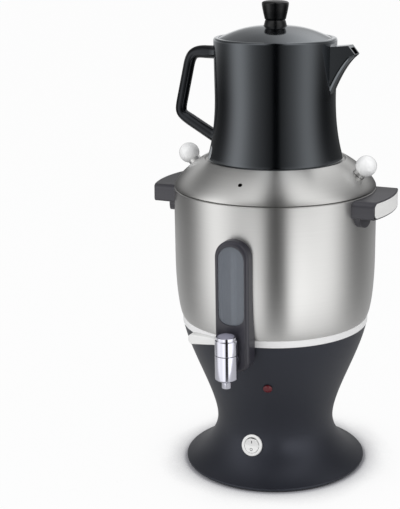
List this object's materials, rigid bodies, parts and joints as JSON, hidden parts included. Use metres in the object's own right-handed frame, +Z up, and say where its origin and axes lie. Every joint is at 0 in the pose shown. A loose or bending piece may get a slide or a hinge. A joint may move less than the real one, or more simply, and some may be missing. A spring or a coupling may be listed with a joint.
{
  "type": "electric samovar",
  "caption": "Electric samovar: steel water tank on a flared black base, front tap with a water gauge, side handles, and a black teapot standing on its domed lid.",
  "frame": {"origin": "centre of the foot ring's flat underside, on the tank's axis", "axes": "+Z up along the tank's axis, -Y towards the tap, the side handles on the X axis, the inlet towards +Y"},
  "size_m": [0.256, 0.2464, 0.4956],
  "materials": {
    "base_plastic": "satin black moulded plastic",
    "rubber": "matt black rubber",
    "screw_steel": "plain bright steel",
    "white_plastic": "glossy white plastic",
    "brass": "bare brass",
    "lamp_red": "dark red translucent plastic",
    "black_plastic": "satin black plastic",
    "lead_insulation": "heat-proof insulation",
    "tank_steel": "brushed stainless steel",
    "silicone": "pale silicone",
    "aluminium": "cast aluminium",
    "insert_metal": "brushed metal",
    "grey_plastic": "dark grey plastic",
    "smoky_window": "smoky window",
    "clear_tube": "clear tube",
    "chrome": "bright chrome",
    "pot_black": "glossy black"
  },
  "bodies": {
    "samovar": {"base_shell": "base_plastic", "base_cover": "base_plastic", "foot_ring": "rubber", "base_screws": "screw_steel", "switch_bezel": "white_plastic", "switch_terminals": "brass", "lamp_lens": "lamp_red", "lamp_body": "black_plastic", "power_inlet": "black_plastic", "inlet_pins": "brass", "inlet_screws": "screw_steel", "wiring": "lead_insulation", "trim_ring": "white_plastic", "tank": "tank_steel", "tank_gasket": "silicone", "tank_studs": "screw_steel", "tank_nuts": "screw_steel", "heater_plate": "aluminium", "heating_element": "screw_steel", "thermostats": "black_plastic", "thermal_cutout": "black_plastic", "left_handle": "black_plastic", "right_handle": "black_plastic", "left_handle_insert": "insert_metal", "right_handle_insert": "insert_metal", "handle_screws": "screw_steel", "screw_seals": "silicone", "gauge_housing": "grey_plastic", "gauge_window": "smoky_window", "gauge_tube": "clear_tube", "gauge_seals": "silicone", "gauge_manifold": "grey_plastic", "manifold_nut": "white_plastic", "manifold_seal": "silicone", "housing_screw": "screw_steel", "tap_body": "chrome", "tap_nozzle": "chrome", "tap_nut": "chrome", "tap_bonnet": "brass"},
    "tap_handle": {"tap_sleeve": "chrome", "tap_lever": "white_plastic", "tap_cap": "grey_plastic", "tap_plug": "brass", "tap_o_ring": "rubber"},
    "rocker": {"power_rocker": "white_plastic"},
    "lid": {"tank_lid": "tank_steel", "left_ball_knob": "white_plastic", "right_ball_knob": "white_plastic", "knob_studs": "chrome", "knob_nuts": "screw_steel"},
    "pot": {"teapot": "pot_black"},
    "pot_lid": {"teapot_lid": "pot_black", "lid_knob": "pot_black", "lid_knob_screw": "screw_steel"}
  },
  "joints": [
    {"name": "tap_turn", "type": "hinge", "parent": "samovar", "child": "tap_handle", "pos_m": [0, -0.1294, 0.161], "axis": [0, 0, 1], "range_deg": [0, 90]},
    {"name": "rocker_tip", "type": "hinge", "parent": "samovar", "child": "rocker", "pos_m": [0, -0.06528, 0.03712], "axis": [-1, 0, 0], "range_deg": [0, 18]},
    {"name": "lid_lift", "type": "slide", "parent": "samovar", "child": "lid", "axis": [0, 0, 1], "range_m": [0, 0.15]},
    {"name": "pot_lift", "type": "slide", "parent": "lid", "child": "pot", "axis": [0, 0, 1], "range_m": [0, 0.12]},
    {"name": "pot_lid_lift", "type": "slide", "parent": "pot", "child": "pot_lid", "axis": [0, 0, 1], "range_m": [0, 0.1]}
  ]
}
